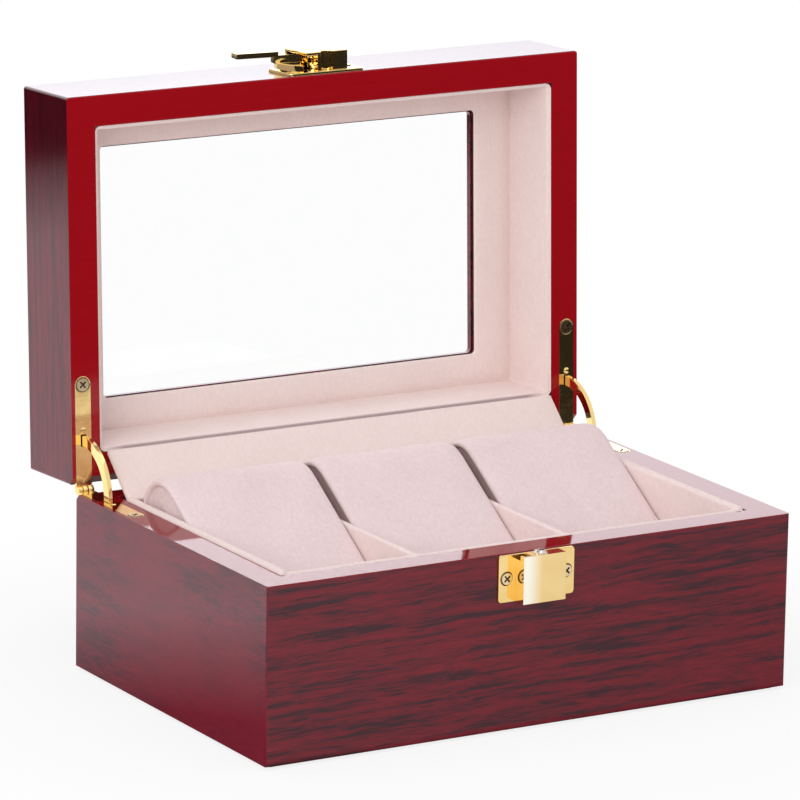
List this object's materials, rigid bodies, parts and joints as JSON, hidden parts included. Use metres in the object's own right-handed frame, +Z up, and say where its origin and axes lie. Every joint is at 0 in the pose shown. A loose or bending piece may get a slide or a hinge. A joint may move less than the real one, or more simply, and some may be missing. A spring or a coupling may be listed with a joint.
{
  "type": "watch box",
  "caption": "Lacquered wooden watch box with a glazed lid on quadrant hinges, a turn-lever latch, velvet linings and removable sloping pillows between dividers.",
  "frame": {"origin": "centre of the base's underside, on the surface that the box stands on", "axes": "+X to the right seen from the front, +Y from the catch towards the hinges, +Z up; rest pose with the lid open and leaning a little back"},
  "size_m": [0.2, 0.1765, 0.2025],
  "materials": {
    "lacquered_wood": "gloss",
    "board": "matte",
    "velvet": "matte",
    "foam": "matte",
    "felt": "matte",
    "gilt": "polished",
    "gilt_screws": "satin",
    "steel": "polished",
    "glass": "clear"
  },
  "bodies": {
    "base": {"base_back_panel": "lacquered_wood", "base_bottom_panel": "board", "base_front_panel": "lacquered_wood", "base_left_panel": "lacquered_wood", "base_liner_back": "velvet", "base_liner_floor": "velvet", "base_liner_front": "velvet", "base_liner_left": "velvet", "base_liner_right": "velvet", "base_right_panel": "lacquered_wood", "bottom_felt": "felt", "catch_body": "gilt", "catch_pin": "steel", "catch_plate": "gilt", "catch_screws": "gilt_screws", "divider_left": "velvet", "divider_right": "velvet", "hinge_base_leaf_left": "gilt", "hinge_base_leaf_right": "gilt", "hinge_base_rivets": "gilt", "hinge_base_screws": "gilt_screws", "hinge_pin_left": "gilt", "hinge_pin_right": "gilt"},
    "lid": {"hinge_lid_leaf_left": "gilt", "hinge_lid_leaf_right": "gilt", "hinge_lid_rivets": "gilt", "hinge_lid_screws": "gilt_screws", "latch_housing": "gilt", "latch_pivot_pin": "steel", "latch_plate": "gilt", "latch_screws": "gilt_screws", "lid_back_rail": "lacquered_wood", "lid_front_rail": "lacquered_wood", "lid_left_rail": "lacquered_wood", "lid_liner_back": "velvet", "lid_liner_front": "velvet", "lid_liner_left": "velvet", "lid_liner_right": "velvet", "lid_liner_top": "velvet", "lid_right_rail": "lacquered_wood", "lid_top_frame": "lacquered_wood", "window_glass": "glass"},
    "latch_lever": {"latch_lever": "gilt"},
    "rear_flap": {"rear_flap": "velvet"},
    "stay_left": {"hinge_stay_left": "gilt"},
    "stay_right": {"hinge_stay_right": "gilt"},
    "pillow_left": {"pillow_left_boards": "board", "pillow_left_core": "foam", "pillow_left_cover": "velvet"},
    "pillow_middle": {"pillow_middle_boards": "board", "pillow_middle_core": "foam", "pillow_middle_cover": "velvet"},
    "pillow_right": {"pillow_right_boards": "board", "pillow_right_core": "foam", "pillow_right_cover": "velvet"}
  },
  "joints": [
    {"name": "lid_hinge", "type": "hinge", "parent": "base", "child": "lid", "pos_m": [0, 0.0676, 0.0614], "axis": [-1, 0, 0], "range_deg": [-92.4, 0]},
    {"name": "flap_fold", "type": "hinge", "parent": "base", "child": "rear_flap", "pos_m": [0, 0.0521, 0.0606], "axis": [-1, 0, 0], "range_deg": [-47, 0]},
    {"name": "stay_left_slide", "type": "hinge", "parent": "base", "child": "stay_left", "pos_m": [-0.09565, 0.0676, 0.0614], "axis": [-1, 0, 0], "range_deg": [-46.2, 0]},
    {"name": "stay_right_slide", "type": "hinge", "parent": "base", "child": "stay_right", "pos_m": [0.09565, 0.0676, 0.0614], "axis": [-1, 0, 0], "range_deg": [-46.2, 0]},
    {"name": "latch_turn", "type": "hinge", "parent": "lid", "child": "latch_lever", "pos_m": [0, 0.08329, 0.19446], "axis": [0, -0.0419, -0.9991], "range_deg": [-50, 0]},
    {"name": "pillow_left_lift", "type": "slide", "parent": "base", "child": "pillow_left", "axis": [0, 0, 1], "range_m": [0, 0.08]},
    {"name": "pillow_middle_lift", "type": "slide", "parent": "base", "child": "pillow_middle", "axis": [0, 0, 1], "range_m": [0, 0.08]},
    {"name": "pillow_right_lift", "type": "slide", "parent": "base", "child": "pillow_right", "axis": [0, 0, 1], "range_m": [0, 0.08]}
  ],
  "couplings": [
    {"joint": "flap_fold", "follows": "lid_hinge", "ratio": 0.50866},
    {"joint": "stay_left_slide", "follows": "lid_hinge", "ratio": 0.5},
    {"joint": "stay_right_slide", "follows": "lid_hinge", "ratio": 0.5}
  ]
}
